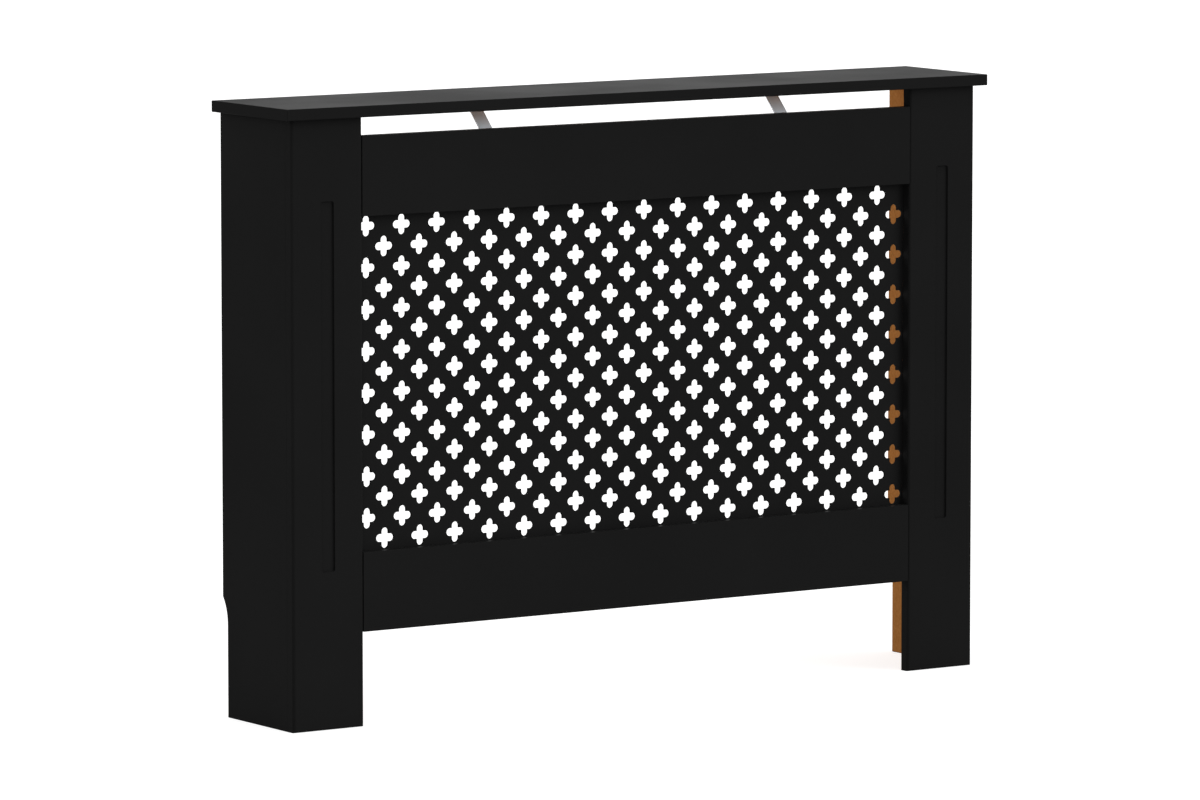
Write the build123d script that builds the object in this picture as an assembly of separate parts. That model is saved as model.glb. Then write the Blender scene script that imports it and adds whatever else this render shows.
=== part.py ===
from build123d import *
import math
import os

# A radiator cover cabinet of painted board: a shelf on two side panels, and a front frame of two stiles
# and two rails with a pierced grille sheet behind it. The back and the bottom are open.
# Sizes are millimetres. X runs along the width, the front faces -Y, the wall is at +Y, and Z is up.
# The origin is on the floor, in the middle of the shelf's outline. The left-hand pieces and joinery
# are the right-hand ones mirrored in the YZ plane.

# Overall size
WIDTH = 1120.0
DEPTH = 190.0
HEIGHT = 815.0

# Shelf
SHELF_THICKNESS = 15.0
SHELF_SIDE_OVERHANG = 13.5
SHELF_FRONT_OVERHANG = 12.5
SHELF_EDGE_EASE = 0.8

# Front frame: a stile at each end, rounded but for its top edge, and a rail above and below the grille
FRAME_THICKNESS = 15.0
STILE_WIDTH = 108.0
STILE_EDGE_RADIUS = 4.0
RAIL_HEIGHT = 105.0
AIR_GAP = 25.0
FLOOR_GAP = 125.0

# Flat-bottomed groove down the face of each stile
GROOVE_WIDTH = 20.0
GROOVE_DEPTH = 3.0
GROOVE_CORNER_RADIUS = 3.0
GROOVE_PAST_GRILLE = 22.0

# Side panels, cut away at the lower back corner to pass a skirting board
SIDE_THICKNESS = 15.0
SKIRTING_DEPTH = 12.0
SKIRTING_HEIGHT = 124.0
SKIRTING_COVE_RADIUS = 60.0

# Grille sheet, lapped on the backs of the rails and stiles, with staggered cross-shaped holes
GRILLE_THICKNESS = 3.0
GRILLE_LAP = 20.0
CROSS_LENGTH = 27.2
CROSS_ARM_WIDTH = 10.5
CROSS_TIP_WIDTH = 7.5
CROSS_STEP_X = 27.3
CROSS_STEP_Z = 27.4

# Bent steel strip, used for the shelf straps and the wall brackets
STRIP_WIDTH = 20.0
STRIP_THICKNESS = 2.0
STRIP_INNER_BEND_RADIUS = 2.0

# Straps that tie the top rail to the shelf
STRAP_FROM_CENTRE = 236.5
STRAP_FLANGE = 28.0
STRAP_ANGLE = 45.0
STRAP_KNEE_UNDER_RAIL_TOP = 2.0

# Brackets that hold the side panels to the wall
BRACKET_LEG = 30.0
BRACKET_UNDER_SHELF = 100.0
WALL_HOLE_RADIUS = 2.5
WALL_HOLE_FROM_SIDE = 17.0

# Dowels and cam fittings. Small repeated rounds are drawn with a few flats.
ROD_FLATS = 6
CAM_FLATS = 8
BORE_CLEARANCE = 0.1
BORE_END_ROOM = 1.0
DOWEL_RADIUS = 4.0
DOWEL_LENGTH = 30.0
DOWEL_IN_FACE = 10.0
CAM_RADIUS = 7.5
CAM_DEPTH = 12.0
CAM_FROM_EDGE = 24.0
CAM_BOLT_RADIUS = 3.0
CAM_BOLT_IN_BOARD = 11.0
RAIL_JOINERY_FROM_EDGE = 22.0
STILE_DOWEL_FROM_END = 60.0
STILE_DOWEL_COUNT = 3
SHELF_CAM_FROM_FRAME = 60.0
SHELF_DOWEL_FROM_FRAME = 115.0

# Pan-head screws, which cut their own way into the board
SCREW_RADIUS = 1.75
SCREW_LENGTH = 12.0
SCREW_HEAD_RADIUS = 3.5
SCREW_HEAD_HEIGHT = 2.2
SCREW_HOLE_CLEARANCE = 0.4
GRILLE_SCREW_COLUMNS = 3
GRILLE_SCREW_FROM_STILE = 60.0

# Lines that the pieces share
BACK_Y = DEPTH / 2
FRAME_FRONT_Y = SHELF_FRONT_OVERHANG - DEPTH / 2
FRAME_BACK_Y = FRAME_FRONT_Y + FRAME_THICKNESS
GRILLE_BACK_Y = FRAME_BACK_Y + GRILLE_THICKNESS
BODY_HALF_WIDTH = WIDTH / 2 - SHELF_SIDE_OVERHANG
OPENING_HALF_WIDTH = BODY_HALF_WIDTH - STILE_WIDTH
SIDE_INNER_X = BODY_HALF_WIDTH - SIDE_THICKNESS
SHELF_UNDERSIDE_Z = HEIGHT - SHELF_THICKNESS
TOP_RAIL_TOP_Z = SHELF_UNDERSIDE_Z - AIR_GAP
OPENING_TOP_Z = TOP_RAIL_TOP_Z - RAIL_HEIGHT
OPENING_BOTTOM_Z = FLOOR_GAP + RAIL_HEIGHT
OPENING_HEIGHT = OPENING_TOP_Z - OPENING_BOTTOM_Z
OPENING_MIDDLE_Z = (OPENING_TOP_Z + OPENING_BOTTOM_Z) / 2
BRACKET_Z = SHELF_UNDERSIDE_Z - BRACKET_UNDER_SHELF


def block(x, y, z):
    """A box between two values on each axis."""
    size = Box(x[1] - x[0], y[1] - y[0], z[1] - z[0])
    return Pos((x[0] + x[1]) / 2, (y[0] + y[1]) / 2, (z[0] + z[1]) / 2) * size


def across_front(y, z):
    """A plane for outlines that lie across the front, with its normal towards the viewer."""
    return Plane(origin=(0, y, z), x_dir=(1, 0, 0), z_dir=(0, -1, 0))


def rod(plane, radius, behind, ahead, flats=ROD_FLATS):
    """A rod on a plane's normal, reaching both ways from the plane."""
    section = plane.offset(-behind) * RegularPolygon(radius, flats)
    return extrude(section, behind + ahead, dir=plane.z_dir)


def pair(pieces):
    """Right-hand pieces and their left-hand mirror images."""
    return pieces + [mirror(piece, about=Plane.YZ) for piece in pieces]


def group(pieces):
    """Like pieces that are kept together as separate solids."""
    return Compound(children=[piece.solid() for piece in pieces])


# Joints between boards: each plane lies on the joint and points into the board that is met


def rail_end(z):
    """Where a rail's end meets the right-hand stile."""
    middle_y = (FRAME_FRONT_Y + FRAME_BACK_Y) / 2
    return Plane(origin=(OPENING_HALF_WIDTH, middle_y, z), z_dir=(1, 0, 0))


def side_front(z):
    """Where the right-hand side panel's front edge meets the stile."""
    return Plane(origin=(BODY_HALF_WIDTH - SIDE_THICKNESS / 2, FRAME_BACK_Y, z), z_dir=(0, -1, 0))


def side_top(from_frame):
    """Where the right-hand side panel's top edge meets the shelf."""
    middle_x = BODY_HALF_WIDTH - SIDE_THICKNESS / 2
    return Plane(origin=(middle_x, FRAME_BACK_Y + from_frame, SHELF_UNDERSIDE_Z), z_dir=(0, 0, 1))


TOP_RAIL_DOWEL = rail_end(OPENING_TOP_Z + RAIL_JOINERY_FROM_EDGE)
TOP_RAIL_CAM = rail_end(TOP_RAIL_TOP_Z - RAIL_JOINERY_FROM_EDGE)
BOTTOM_RAIL_DOWEL = rail_end(OPENING_BOTTOM_Z - RAIL_JOINERY_FROM_EDGE)
BOTTOM_RAIL_CAM = rail_end(FLOOR_GAP + RAIL_JOINERY_FROM_EDGE)
RAIL_DOWELS = (TOP_RAIL_DOWEL, BOTTOM_RAIL_DOWEL)
RAIL_CAMS = (TOP_RAIL_CAM, BOTTOM_RAIL_CAM)
SHELF_DOWEL = side_top(SHELF_DOWEL_FROM_FRAME)
SHELF_CAM = side_top(SHELF_CAM_FROM_FRAME)
STILE_DOWEL_STEP = (SHELF_UNDERSIDE_Z - 2 * STILE_DOWEL_FROM_END) / (STILE_DOWEL_COUNT - 1)
STILE_DOWELS = [side_front(STILE_DOWEL_FROM_END + i * STILE_DOWEL_STEP) for i in range(STILE_DOWEL_COUNT)]


def dowel(joint, in_next=DOWEL_IN_FACE):
    """A dowel across a joint, with a given length in the board that is met."""
    return rod(joint, DOWEL_RADIUS, DOWEL_LENGTH - in_next, in_next)


def dowel_bore(joint, in_next=DOWEL_IN_FACE):
    """The bore for that dowel, in both boards."""
    behind = DOWEL_LENGTH - in_next + BORE_END_ROOM
    return rod(joint, DOWEL_RADIUS + BORE_CLEARANCE, behind, in_next + BORE_END_ROOM)


def cam_bolt(joint):
    """A bolt that is screwed into the board that is met, and ends inside its cam."""
    return rod(joint, CAM_BOLT_RADIUS, CAM_FROM_EDGE - BORE_END_ROOM, CAM_BOLT_IN_BOARD)


def cam_bolt_bore(joint):
    """The bore for that bolt, in both boards and in the rim of the cam."""
    ahead = CAM_BOLT_IN_BOARD + BORE_END_ROOM
    return rod(joint, CAM_BOLT_RADIUS + BORE_CLEARANCE, CAM_FROM_EDGE, ahead)


def rail_cam_seat(joint):
    """The plane on a rail's back where the cam of a joint is sunk, pointing into the rail."""
    origin = (joint.origin.X - CAM_FROM_EDGE, FRAME_BACK_Y, joint.origin.Z)
    return Plane(origin=origin, z_dir=(0, -1, 0))


def side_cam_seat(joint):
    """The plane on the side panel's inner face where the cam of a joint is sunk, pointing into it."""
    origin = (SIDE_INNER_X, joint.origin.Y, joint.origin.Z - CAM_FROM_EDGE)
    return Plane(origin=origin, z_dir=(1, 0, 0))


def cam_lock(seat, joint):
    """A cam lock, flush with its board, with the hole in its rim that takes the bolt."""
    return rod(seat, CAM_RADIUS, 0, CAM_DEPTH, CAM_FLATS) - cam_bolt_bore(joint)


def cam_pocket(seat):
    """The pocket that the cam turns in."""
    return rod(seat, CAM_RADIUS + BORE_CLEARANCE, 0, CAM_DEPTH + BORE_END_ROOM, CAM_FLATS)


# Screws: each plane lies on the face under the head and points out of it


def screw(seat):
    """A pan-head screw."""
    shank = rod(seat, SCREW_RADIUS, SCREW_LENGTH, 0)
    return shank + rod(seat, SCREW_HEAD_RADIUS, 0, SCREW_HEAD_HEIGHT)


def screw_hole(seat, thickness):
    """The clearance hole for a screw through a sheet or strip."""
    return rod(seat, SCREW_RADIUS + SCREW_HOLE_CLEARANCE, thickness, 0)


# Shelf straps and wall brackets


def bent_strip(plane, points, material_side):
    """A steel strip whose outer face follows a line of points in a plane, centred on the plane."""
    bend_radius = STRIP_INNER_BEND_RADIUS + STRIP_THICKNESS
    outer_face = FilletPolyline(*points, radius=bend_radius)
    outline = offset(outer_face, STRIP_THICKNESS, side=material_side, closed=True)
    return extrude(plane * make_face(outline), STRIP_WIDTH / 2, both=True)


STRAP_PLANE = Plane(origin=(STRAP_FROM_CENTRE, 0, 0), x_dir=(0, 1, 0), z_dir=(1, 0, 0))
STRAP_KNEE_Z = TOP_RAIL_TOP_Z - STRAP_KNEE_UNDER_RAIL_TOP
STRAP_HEEL_Y = FRAME_BACK_Y + (SHELF_UNDERSIDE_Z - STRAP_KNEE_Z) / math.tan(math.radians(STRAP_ANGLE))
STRAP_RAIL_SCREW = Plane(
    origin=(STRAP_FROM_CENTRE, FRAME_BACK_Y + STRIP_THICKNESS, STRAP_KNEE_Z - STRAP_FLANGE / 2),
    z_dir=(0, 1, 0),
)
STRAP_SHELF_SCREW = Plane(
    origin=(STRAP_FROM_CENTRE, STRAP_HEEL_Y + STRAP_FLANGE / 2, SHELF_UNDERSIDE_Z - STRIP_THICKNESS),
    z_dir=(0, 0, -1),
)
BRACKET_SCREW = Plane(
    origin=(SIDE_INNER_X - STRIP_THICKNESS, BACK_Y - BRACKET_LEG / 2, BRACKET_Z),
    z_dir=(-1, 0, 0),
)
WALL_HOLE = Plane(origin=(SIDE_INNER_X - WALL_HOLE_FROM_SIDE, BACK_Y, BRACKET_Z), z_dir=(0, 1, 0))


def shelf_strap():
    """A strap from the back of the top rail, up and back to the underside of the shelf."""
    points = [
        (FRAME_BACK_Y, STRAP_KNEE_Z - STRAP_FLANGE),
        (FRAME_BACK_Y, STRAP_KNEE_Z),
        (STRAP_HEEL_Y, SHELF_UNDERSIDE_Z),
        (STRAP_HEEL_Y + STRAP_FLANGE, SHELF_UNDERSIDE_Z),
    ]
    strap = bent_strip(STRAP_PLANE, points, Side.RIGHT)
    return strap - [screw_hole(seat, STRIP_THICKNESS) for seat in (STRAP_RAIL_SCREW, STRAP_SHELF_SCREW)]


def wall_bracket():
    """An angle bracket inside a side panel's back edge, with a round hole for the wall screw."""
    points = [
        (SIDE_INNER_X, BACK_Y - BRACKET_LEG),
        (SIDE_INNER_X, BACK_Y),
        (SIDE_INNER_X - BRACKET_LEG, BACK_Y),
    ]
    bracket = bent_strip(Plane.XY.offset(BRACKET_Z), points, Side.LEFT)
    wall_hole = extrude(WALL_HOLE * Circle(WALL_HOLE_RADIUS), -STRIP_THICKNESS)
    return bracket - [wall_hole, screw_hole(BRACKET_SCREW, STRIP_THICKNESS)]


# Boards


def top_shelf():
    """The shelf, with its edges eased and the joinery bored into its underside."""
    shelf = block((-WIDTH / 2, WIDTH / 2), (-DEPTH / 2, DEPTH / 2), (SHELF_UNDERSIDE_Z, HEIGHT))
    shelf = chamfer(shelf.edges(), SHELF_EDGE_EASE)
    return shelf - pair([dowel_bore(SHELF_DOWEL), cam_bolt_bore(SHELF_CAM)])


def stile():
    """A stile, grooved down its middle, with its face rounded at the sides and the foot."""
    x = (OPENING_HALF_WIDTH, BODY_HALF_WIDTH)
    board = block(x, (FRAME_FRONT_Y, FRAME_BACK_Y), (0, SHELF_UNDERSIDE_Z))
    face_edges = board.faces().sort_by(Axis.Y)[0].edges().sort_by(Axis.Z)
    board = fillet(face_edges[:-1], STILE_EDGE_RADIUS)
    groove_length = OPENING_HEIGHT + 2 * GROOVE_PAST_GRILLE
    outline = Pos(sum(x) / 2, 0) * RectangleRounded(GROOVE_WIDTH, groove_length, GROOVE_CORNER_RADIUS)
    cuts = [extrude(across_front(FRAME_FRONT_Y, OPENING_MIDDLE_Z) * outline, -GROOVE_DEPTH)]
    cuts += [dowel_bore(joint, DOWEL_LENGTH / 2) for joint in RAIL_DOWELS]
    cuts += [cam_bolt_bore(joint) for joint in RAIL_CAMS]
    cuts += [dowel_bore(joint) for joint in STILE_DOWELS]
    return board - cuts


def side_panel():
    """A side panel, with the skirting cut-out and its cove at the lower back corner."""
    x = (SIDE_INNER_X, BODY_HALF_WIDTH)
    board = block(x, (FRAME_BACK_Y, BACK_Y), (0, SHELF_UNDERSIDE_Z))
    cuts = [block(x, (BACK_Y - SKIRTING_DEPTH, BACK_Y), (0, SKIRTING_HEIGHT))]
    cove_y = BACK_Y - SKIRTING_DEPTH + SKIRTING_COVE_RADIUS
    cove_plane = Plane(origin=(SIDE_INNER_X, cove_y, SKIRTING_HEIGHT), z_dir=(1, 0, 0))
    cuts.append(extrude(cove_plane * Circle(SKIRTING_COVE_RADIUS), SIDE_THICKNESS))
    cuts += [dowel_bore(joint) for joint in STILE_DOWELS]
    cuts += [dowel_bore(SHELF_DOWEL), cam_bolt_bore(SHELF_CAM), cam_pocket(side_cam_seat(SHELF_CAM))]
    return board - cuts


def rail(bottom_z, dowel_joint, cam_joint):
    """A rail between the stiles, bored for a dowel and a cam fitting at each end."""
    x = (-OPENING_HALF_WIDTH, OPENING_HALF_WIDTH)
    board = block(x, (FRAME_FRONT_Y, FRAME_BACK_Y), (bottom_z, bottom_z + RAIL_HEIGHT))
    bores = [dowel_bore(dowel_joint, DOWEL_LENGTH / 2), cam_bolt_bore(cam_joint)]
    return board - pair(bores + [cam_pocket(rail_cam_seat(cam_joint))])


# Grille

CROSS_COLUMNS = 1 + int((2 * OPENING_HALF_WIDTH - CROSS_LENGTH) / CROSS_STEP_X)
CROSS_ROWS = 1 + int((OPENING_HEIGHT - CROSS_LENGTH) / CROSS_STEP_Z)


def cross_outline(x, z):
    """A cross-shaped hole: four arms that narrow to their tips, in twelve points."""
    tip, root, reach = CROSS_TIP_WIDTH / 2, CROSS_ARM_WIDTH / 2, CROSS_LENGTH / 2
    arm = [Vector(tip, reach), Vector(-tip, reach), Vector(-root, root)]
    points = [point.rotate(Axis.Z, 90 * quarter) for quarter in range(4) for point in arm]
    return Wire.make_polygon([point + Vector(x, z) for point in points], close=True)


def cross_centres():
    """Every second place of a grid centred on the opening, in turn from row to row."""
    left, top = -(CROSS_COLUMNS - 1) / 2 * CROSS_STEP_X, (CROSS_ROWS - 1) / 2 * CROSS_STEP_Z
    places = [(column, row) for column in range(CROSS_COLUMNS) for row in range(CROSS_ROWS)]
    staggered = [(column, row) for column, row in places if (column + row) % 2 == 0]
    return [(left + column * CROSS_STEP_X, top - row * CROSS_STEP_Z) for column, row in staggered]


def grille_screw_centres():
    """The screws along the laps on the two rails, and one on each stile, from the grille's middle."""
    rail_x, rail_z = OPENING_HALF_WIDTH - GRILLE_SCREW_FROM_STILE, (OPENING_HEIGHT + GRILLE_LAP) / 2
    step = 2 * rail_x / (GRILLE_SCREW_COLUMNS - 1)
    along_rails = [(i * step - rail_x, z) for i in range(GRILLE_SCREW_COLUMNS) for z in (-rail_z, rail_z)]
    stile_x = OPENING_HALF_WIDTH + GRILLE_LAP / 2
    return along_rails + [(-stile_x, 0), (stile_x, 0)]


GRILLE_SCREWS = [
    Plane(origin=(x, GRILLE_BACK_Y, OPENING_MIDDLE_Z + z), z_dir=(0, 1, 0))
    for x, z in grille_screw_centres()
]


def grille_sheet():
    """The pierced sheet behind the front frame."""
    outline = Rectangle(2 * (OPENING_HALF_WIDTH + GRILLE_LAP), OPENING_HEIGHT + 2 * GRILLE_LAP)
    screw_outline = RegularPolygon(SCREW_RADIUS + SCREW_HOLE_CLEARANCE, ROD_FLATS)
    holes = [cross_outline(x, z) for x, z in cross_centres()]
    holes += [(Pos(x, z) * screw_outline).wire() for x, z in grille_screw_centres()]
    pierced = Face(outline.wire(), holes)
    return extrude(across_front(GRILLE_BACK_Y, OPENING_MIDDLE_Z) * pierced, GRILLE_THICKNESS)


RIGHT_STILE, RIGHT_SIDE_PANEL = stile(), side_panel()

PIECES = {
    "top_shelf": top_shelf(),
    "left_stile": mirror(RIGHT_STILE, about=Plane.YZ),
    "right_stile": RIGHT_STILE,
    "left_side_panel": mirror(RIGHT_SIDE_PANEL, about=Plane.YZ),
    "right_side_panel": RIGHT_SIDE_PANEL,
    "top_rail": rail(OPENING_TOP_Z, TOP_RAIL_DOWEL, TOP_RAIL_CAM),
    "bottom_rail": rail(FLOOR_GAP, BOTTOM_RAIL_DOWEL, BOTTOM_RAIL_CAM),
    "grille_sheet": grille_sheet(),
    "shelf_straps": group(pair([shelf_strap()])),
    "wall_brackets": group(pair([wall_bracket()])),
    "rail_dowels": group(pair([dowel(joint, DOWEL_LENGTH / 2) for joint in RAIL_DOWELS])),
    "stile_dowels": group(pair([dowel(joint) for joint in STILE_DOWELS])),
    "shelf_dowels": group(pair([dowel(SHELF_DOWEL)])),
    "rail_cam_bolts": group(pair([cam_bolt(joint) for joint in RAIL_CAMS])),
    "rail_cam_locks": group(pair([cam_lock(rail_cam_seat(joint), joint) for joint in RAIL_CAMS])),
    "shelf_cam_bolts": group(pair([cam_bolt(SHELF_CAM)])),
    "shelf_cam_locks": group(pair([cam_lock(side_cam_seat(SHELF_CAM), SHELF_CAM)])),
    "strap_rail_screws": group(pair([screw(STRAP_RAIL_SCREW)])),
    "strap_shelf_screws": group(pair([screw(STRAP_SHELF_SCREW)])),
    "grille_screws": group([screw(seat) for seat in GRILLE_SCREWS]),
    "bracket_screws": group(pair([screw(BRACKET_SCREW)])),
}

os.makedirs("parts", exist_ok=True)
for name, shape in PIECES.items():
    export_step(shape, f"parts/{name}.step")
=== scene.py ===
import math

import bmesh
import bpy
from bpy.props import FloatProperty, FloatVectorProperty, IntProperty, PointerProperty
from mathutils import Matrix, Vector


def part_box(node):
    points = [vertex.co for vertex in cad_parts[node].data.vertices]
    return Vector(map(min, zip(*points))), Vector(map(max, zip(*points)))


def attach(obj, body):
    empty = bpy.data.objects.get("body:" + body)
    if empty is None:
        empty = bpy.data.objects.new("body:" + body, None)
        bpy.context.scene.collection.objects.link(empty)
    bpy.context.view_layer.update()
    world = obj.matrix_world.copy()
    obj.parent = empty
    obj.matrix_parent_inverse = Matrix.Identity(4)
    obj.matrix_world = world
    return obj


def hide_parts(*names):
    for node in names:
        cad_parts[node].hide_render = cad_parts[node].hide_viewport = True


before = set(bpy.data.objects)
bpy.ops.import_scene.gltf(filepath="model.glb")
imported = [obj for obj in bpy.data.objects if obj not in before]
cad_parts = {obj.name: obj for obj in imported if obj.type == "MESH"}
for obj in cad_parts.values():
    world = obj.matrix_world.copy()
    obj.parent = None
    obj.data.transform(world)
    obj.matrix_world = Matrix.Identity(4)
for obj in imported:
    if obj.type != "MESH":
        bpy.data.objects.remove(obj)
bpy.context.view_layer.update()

bl_info = {
    "name": "Radiator cover cabinet",
    "version": (1, 0, 0),
    "blender": (4, 5, 0),
    "location": "3D View > Sidebar > Radiator cover",
    "description": "Dresses the solids of a radiator cover cabinet: grille, fittings, finishes and studio",
    "category": "Object",
}

# The frame is in metres: X runs along the width, the front faces -Y, the wall is at +Y, and Z is up.
MILLIMETRE = 0.001
WELD_DISTANCE = 0.001 * MILLIMETRE
FACE_TOLERANCE = 0.01 * MILLIMETRE
FULL_TURN = math.tau
FLAT_ANGLE = math.radians(0.5)
SHARP_ANGLE = math.radians(50)

# Planes that the boards share
SIDE_INNER_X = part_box("right_side_panel")[0].x
FRAME_BACK_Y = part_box("top_rail")[1].y
SHELF_UNDERSIDE_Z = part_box("top_shelf")[0].z
GRILLE_LOW, GRILLE_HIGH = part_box("grille_sheet")

BOARDS = (
    "top_shelf",
    "left_stile",
    "right_stile",
    "left_side_panel",
    "right_side_panel",
    "top_rail",
    "bottom_rail",
)
STEEL_STRIPS = ("shelf_straps", "wall_brackets")


def from_screen(red, green, blue):
    """A linear colour from sRGB values of 0 to 255, as a screen shows them."""
    shares = [value / 255 for value in (red, green, blue)]
    return tuple(s / 12.92 if s <= 0.04045 else ((s + 0.055) / 1.055) ** 2.4 for s in shares)


def length(name, description, default):
    """A length in metres that a user may set."""
    settings = {"name": name, "description": description, "default": default, "min": 0.0}
    return FloatProperty(unit="LENGTH", precision=5, **settings)


def share(name, description, default):
    """A plain factor from 0 to 1 that a user may set."""
    settings = {"name": name, "description": description, "default": default, "min": 0.0}
    return FloatProperty(max=1.0, subtype="FACTOR", **settings)


def level(name, description, default):
    """A level of light that a user may set, where 1 shows a white card as white."""
    return FloatProperty(name=name, description=description, default=default, min=0.0)


def colour(name, description, screen_values):
    """A colour that a user may set."""
    return FloatVectorProperty(
        name=name,
        description=description,
        default=from_screen(*screen_values),
        min=0.0,
        max=1.0,
        size=3,
        subtype="COLOR",
    )


# Sizes, colours and levels that a user would change


class GrilleSizes(bpy.types.PropertyGroup):
    cross_length: length("Cross length", "From tip to tip of a cross-shaped hole", 0.0272)
    arm_width: length("Arm width", "Width of a cross's arms, which end in half circles", 0.0105)
    step_x: length("Step across", "Between neighbouring columns of holes", 0.0273)
    step_z: length("Step up", "Between neighbouring rows of holes", 0.0274)
    columns: IntProperty(name="Columns", description="Columns of holes", default=32, min=1)
    rows: IntProperty(name="Rows", description="Rows of holes", default=16, min=1)
    tip_steps: IntProperty(name="Tip steps", description="Steps round a half circle", default=10, min=2)
    arris: length("Arris", "Softened edge of the holes and of the sheet at the front", 0.0004)


class FittingSizes(bpy.types.PropertyGroup):
    screw_length: length("Screw length", "Under a screw's head", 0.012)
    head_radius: length("Screw head radius", "Radius of a pan head", 0.0035)
    head_height: length("Screw head height", "Height of a pan head", 0.0022)
    thread_radius: length("Thread radius", "Radius of a screw over its thread", 0.00175)
    thread_core: length("Thread core", "Radius of a screw at the root of its thread", 0.0012)
    thread_pitch: length("Thread pitch", "From one turn of a screw's thread to the next", 0.0012)
    hole_clearance: length("Hole clearance", "From a screw's thread to its hole in the grille", 0.0004)
    cam_radius: length("Cam radius", "Radius of a cam lock in its pocket", 0.0075)
    cam_depth: length("Cam depth", "How deep a cam lock is sunk", 0.012)
    cam_rim_radius: length("Cam rim radius", "Radius of the rim that covers the pocket's edge", 0.0083)
    cam_rim_height: length("Cam rim height", "How far the rim stands on the board", 0.0005)
    bolt_radius: length("Cam bolt radius", "Radius of a cam bolt's shank", 0.0025)
    bolt_shank_length: length("Cam bolt shank", "Length of a cam bolt behind the joint", 0.023)
    bolt_thread_length: length("Cam bolt thread", "Length of a cam bolt past the joint", 0.011)
    bolt_thread_radius: length("Cam bolt thread radius", "Radius of a cam bolt over its thread", 0.003)
    bolt_thread_pitch: length("Cam bolt pitch", "From one turn of a cam bolt's thread to the next", 0.0022)
    dowel_radius: length("Dowel radius", "Radius of a dowel over its ribs", 0.004)
    dowel_length: length("Dowel length", "Length of a dowel", 0.03)
    dowel_chamfer: length("Dowel chamfer", "Chamfer at the ends of a dowel", 0.001)
    flute_depth: length("Flute depth", "Depth of the flutes along a dowel", 0.0003)
    flutes: IntProperty(name="Flutes", description="Flutes round a dowel", default=18, min=3)


class Finishes(bpy.types.PropertyGroup):
    board_arris: length("Board arris", "Width of the softened edges of the boards", 0.0006)
    strip_arris: length("Strip arris", "Width of the softened edges of the steel strips", 0.0002)
    paint: colour("Paint", "Satin black paint on the boards", (28, 28, 28))
    paint_roughness: share("Paint roughness", "Roughness of the paint", 0.31)
    paint_gloss: share("Paint gloss", "Specular level of the paint and the raw board", 0.002)
    raw_board: colour("Raw board", "Bare wood fibre board inside the cabinet", (184, 130, 74))
    raw_fibres: colour("Raw board fibres", "Darker fibres in the bare board", (157, 103, 53))
    zinc: colour("Zinc plate", "Zinc-plated steel", (222, 230, 237))
    cast_zinc: colour("Cast zinc", "Cast cam locks", (150, 150, 152))
    screw_black: colour("Screw black", "Blackened steel screws", (62, 62, 64))
    beech: colour("Beech", "Beech dowels", (205, 168, 122))


class CameraPlace(bpy.types.PropertyGroup):
    position: FloatVectorProperty(
        name="Position",
        description="Where the camera stands",
        default=(-5.908, -8.833, 1.615),
        size=3,
        subtype="TRANSLATION",
        unit="LENGTH",
    )
    yaw: FloatProperty(
        name="Yaw",
        description="Turn of the view from straight at the front towards the right",
        default=math.radians(33.72),
        subtype="ANGLE",
    )
    pitch: FloatProperty(
        name="Pitch",
        description="Tilt of the view above the horizon",
        default=math.radians(-6.553),
        subtype="ANGLE",
    )
    focal_length: FloatProperty(
        name="Focal length",
        description="Focal length on a sensor 36 mm wide",
        default=239.2,
        min=1.0,
        unit="CAMERA",
    )


class StudioLevels(bpy.types.PropertyGroup):
    surroundings: level("Surroundings", "Level of the light from all round", 0.5)
    overhead: level("Overhead", "Level of the overhead lamp", 0.25)
    front_right: level("Front right", "Level of the lamp in front on the right", 0.5)
    rear_left: level("Rear left", "Level of the lamp behind on the left", 0.42)
    spread: FloatProperty(
        name="Spread",
        description="Angle that each lamp fills, which softens its shadows",
        default=math.radians(50),
        subtype="ANGLE",
    )
    floor_albedo: share("Floor grey", "Share of the light that the floor gives back", 0.6)
    floor_glow: share("Floor glow", "White added to the floor where it is seen directly", 0.71)


class RadiatorCover(bpy.types.PropertyGroup):
    grille: PointerProperty(type=GrilleSizes)
    fittings: PointerProperty(type=FittingSizes)
    finishes: PointerProperty(type=Finishes)
    camera: PointerProperty(type=CameraPlace)
    studio: PointerProperty(type=StudioLevels)


# Making pieces


def finish_mesh(bm, name):
    """A mesh from a bmesh, welded and with its faces pointing outwards."""
    bmesh.ops.remove_doubles(bm, verts=bm.verts[:], dist=WELD_DISTANCE)
    bmesh.ops.recalc_face_normals(bm, faces=bm.faces[:])
    mesh = bpy.data.meshes.new(name)
    bm.to_mesh(mesh)
    bm.free()
    return mesh


def add_piece(mesh, material, replaced):
    """Shows a mesh as a piece of the cabinet in place of a CAD node."""
    mesh.materials.append(material)
    piece = bpy.data.objects.new(mesh.name, mesh)
    bpy.context.scene.collection.objects.link(piece)
    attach(piece, "root")
    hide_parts(replaced)


def dress_node(name, material, arris):
    """Gives a CAD node its finish, and softens its sharp edges once its triangles are joined."""
    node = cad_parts[name]
    for slot in node.material_slots:
        slot.material = material
    if not node.material_slots:
        node.data.materials.append(material)
    weld = node.modifiers.new("weld", "WELD")
    weld.merge_threshold = WELD_DISTANCE
    flatten = node.modifiers.new("flatten", "DECIMATE")
    flatten.decimate_type = "DISSOLVE"
    flatten.angle_limit = FLAT_ANGLE
    soften = node.modifiers.new("soften", "BEVEL")
    soften.width = arris
    soften.segments = 2
    soften.limit_method = "ANGLE"
    soften.angle_limit = SHARP_ANGLE
    soften.use_clamp_overlap = False


def linked_verts(first):
    """All the vertices that edges join to a first one."""
    island, fresh = {first}, [first]
    while fresh:
        vert = fresh.pop()
        beside = {edge.other_vert(vert) for edge in vert.link_edges} - island
        island |= beside
        fresh.extend(beside)
    return island


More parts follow.
